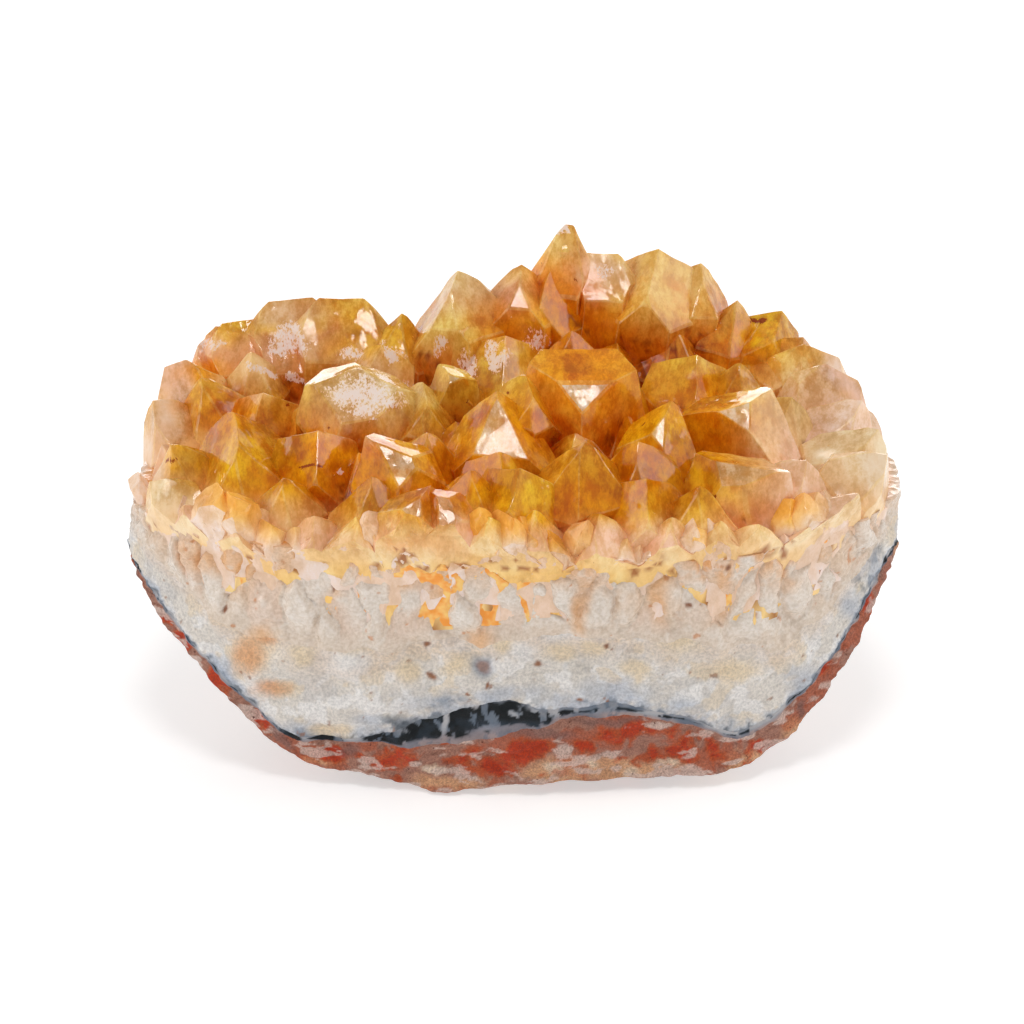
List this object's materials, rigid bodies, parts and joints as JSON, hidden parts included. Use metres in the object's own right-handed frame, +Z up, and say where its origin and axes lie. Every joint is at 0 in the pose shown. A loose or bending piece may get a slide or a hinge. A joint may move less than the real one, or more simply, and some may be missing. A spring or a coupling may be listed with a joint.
{
  "type": "citrine crystal cluster",
  "caption": "Broken chunk of geode lining: a druse of amber crystals on fused roots over milky quartz, a dark seam and a reddish rind.",
  "frame": {"origin": "middle of the object's bounding box at the height of the flat underside it rests on", "axes": "+X to the right along the longest side, +Y from the broken front face to the back, +Z up"},
  "size_m": [0.08, 0.0486, 0.0492],
  "materials": {
    "citrine": "clear natural crystal faces, some frosted",
    "milky_quartz": "broken, slightly waxy",
    "celadonite": "broken, matt",
    "basalt": "rough, matt"
  },
  "bodies": {
    "root": {"citrine_crystals": "citrine", "milky_quartz_bed": "milky_quartz", "celadonite_seam": "celadonite", "basalt_rind": "basalt"}
  },
  "joints": []
}
